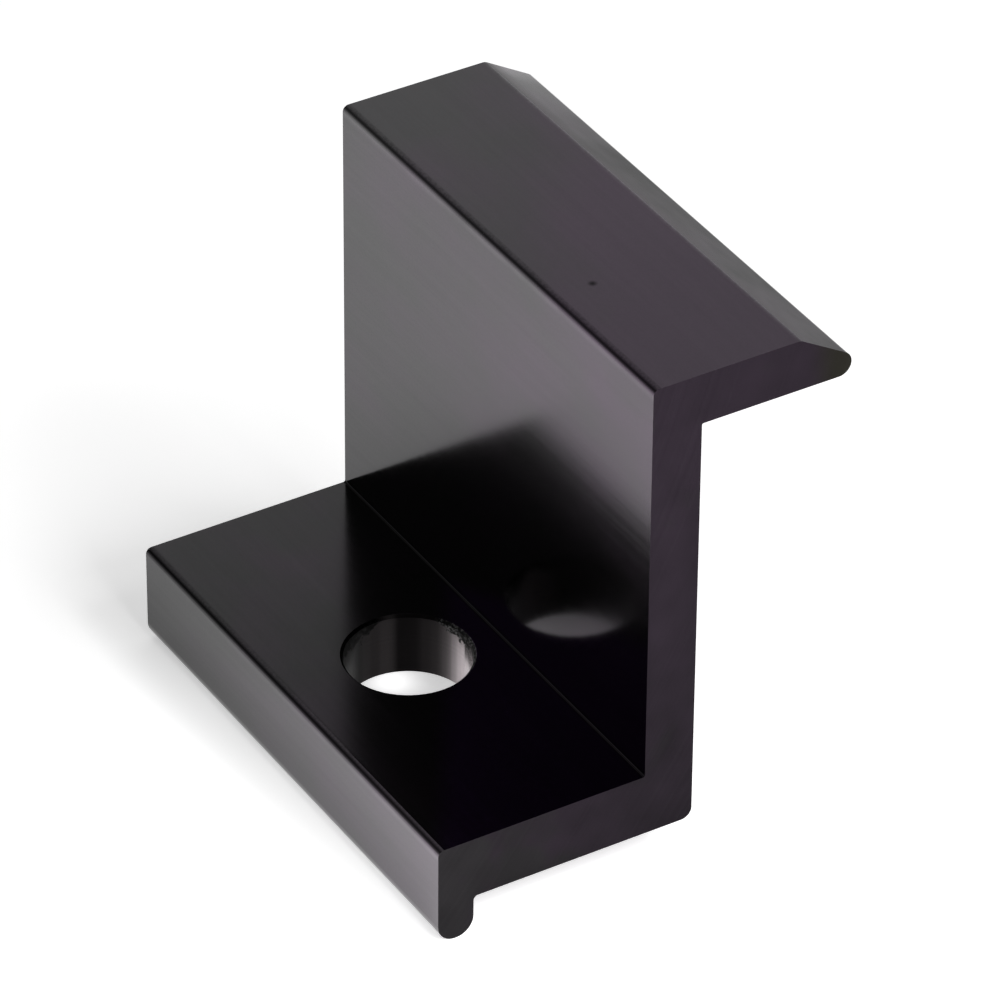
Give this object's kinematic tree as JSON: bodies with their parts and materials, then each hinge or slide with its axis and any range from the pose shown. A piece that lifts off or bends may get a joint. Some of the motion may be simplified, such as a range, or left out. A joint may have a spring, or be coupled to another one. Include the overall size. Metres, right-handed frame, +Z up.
{
  "type": "solar end clamp",
  "caption": "Black extruded end clamp for a solar module: a bolted flange with a rounded foot rib, an upright web and a bevelled lip that hooks over the frame.",
  "frame": {"origin": "centre of the bolt hole on the flange's underside", "axes": "+X from the flange's outer edge towards the module and the lip, +Y along the extrusion, +Z up the bolt's axis towards the lip"},
  "size_m": [0.0315, 0.04, 0.0391],
  "materials": {
    "black_anodised_aluminium": "black anodised, satin on the drawn faces and a little duller on the sawn ends"
  },
  "bodies": {
    "root": {"end_clamp": "black_anodised_aluminium"}
  },
  "joints": []
}
